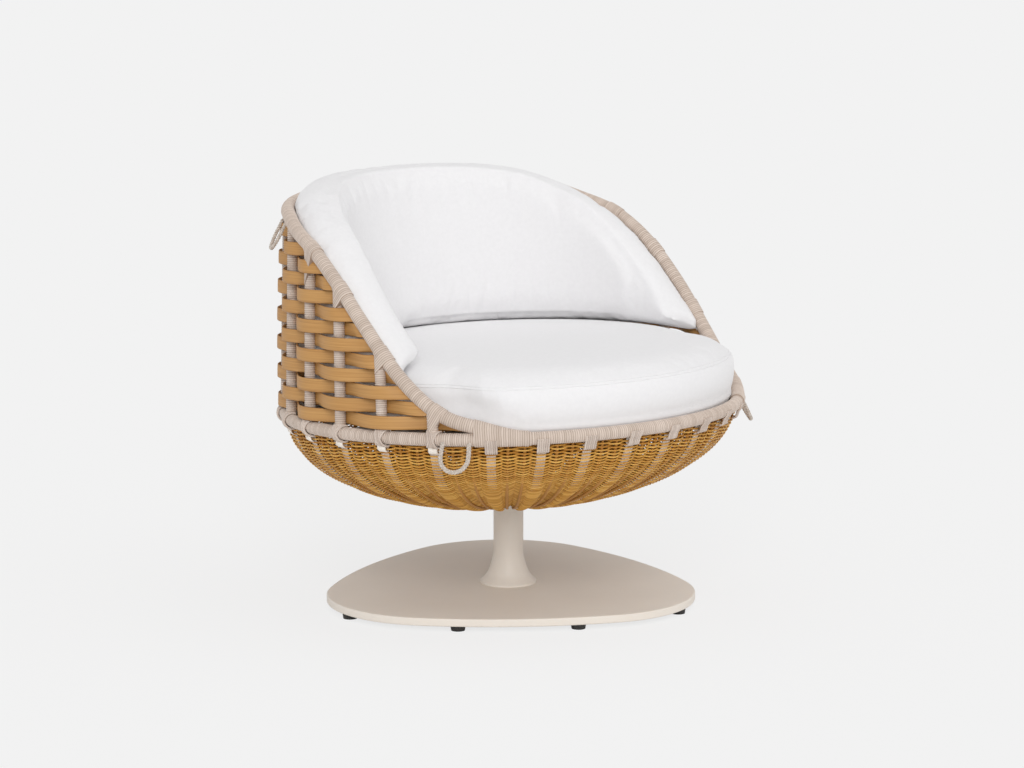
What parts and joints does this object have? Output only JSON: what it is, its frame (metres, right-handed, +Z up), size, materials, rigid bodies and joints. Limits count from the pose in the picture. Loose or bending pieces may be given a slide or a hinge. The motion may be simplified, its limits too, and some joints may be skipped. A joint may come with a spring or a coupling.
{
  "type": "swivel lounge chair",
  "caption": "Low swivel lounge chair: a round woven bowl seat with a strap-woven back and loose cushions, on a trumpet-footed column and a rounded triangular plate.",
  "frame": {"origin": "on the swivel axis, at floor level", "axes": "+Z up along the swivel axis, the seat faces -Y, +X to the right of someone who looks along +Y"},
  "size_m": [0.9571, 0.9705, 0.8607],
  "materials": {
    "sand_coated_metal": "satin powder coat",
    "black_plastic": "moulded, matt",
    "bearing_plastic": "plain moulded",
    "plain_steel": "plain zinc plated",
    "frame_metal": "satin powder coat",
    "wrapped_tube": "close wound cord over tube",
    "ochre_strap": "extruded strap, satin",
    "ochre_strand": "woven round strands",
    "webbing": "woven elastic webbing",
    "white_cloth": "plain woven outdoor cloth",
    "rope": "braided cord"
  },
  "bodies": {
    "base": {"base_plate": "sand_coated_metal", "glides": "black_plastic", "glide_screws": "plain_steel", "column": "sand_coated_metal", "column_screws": "plain_steel", "upper_bush": "bearing_plastic", "lower_bush": "bearing_plastic"},
    "seat": {"back_cushion": "white_cloth", "bowl_ribs": "wrapped_tube", "bowl_weave": "ochre_strand", "frame_hub": "frame_metal", "hub_screws": "plain_steel", "pole_back": "wrapped_tube", "pole_left_1": "wrapped_tube", "pole_left_2": "wrapped_tube", "pole_left_3": "wrapped_tube", "pole_left_4": "wrapped_tube", "pole_left_5": "wrapped_tube", "pole_left_6": "wrapped_tube", "pole_left_7": "wrapped_tube", "pole_left_8": "wrapped_tube", "pole_left_9": "wrapped_tube", "pole_right_1": "wrapped_tube", "pole_right_2": "wrapped_tube", "pole_right_3": "wrapped_tube", "pole_right_4": "wrapped_tube", "pole_right_5": "wrapped_tube", "pole_right_6": "wrapped_tube", "pole_right_7": "wrapped_tube", "pole_right_8": "wrapped_tube", "pole_right_9": "wrapped_tube", "rake_wedge": "frame_metal", "rim": "wrapped_tube", "rope_loops_front": "rope", "rope_loops_rear": "rope", "seat_cushion": "white_cloth", "spindle": "plain_steel", "spindle_clip": "plain_steel", "strap_row_01": "ochre_strap", "strap_row_02": "ochre_strap", "strap_row_03": "ochre_strap", "strap_row_04": "ochre_strap", "strap_row_05": "ochre_strap", "strap_row_06": "ochre_strap", "strap_row_07": "ochre_strap", "strap_row_08": "ochre_strap", "strap_row_09": "ochre_strap", "strap_row_10": "ochre_strap", "strap_row_11": "ochre_strap", "strap_row_12": "ochre_strap", "strap_row_13": "ochre_strap", "swivel_plate": "frame_metal", "waist_ring": "wrapped_tube", "webbing_across": "webbing", "webbing_lengthways": "webbing"}
  },
  "joints": [
    {"name": "seat_swivel", "type": "hinge", "parent": "base", "child": "seat", "pos_m": [0, 0, 0.16], "axis": [0, 0, 1], "continuous": true}
  ]
}
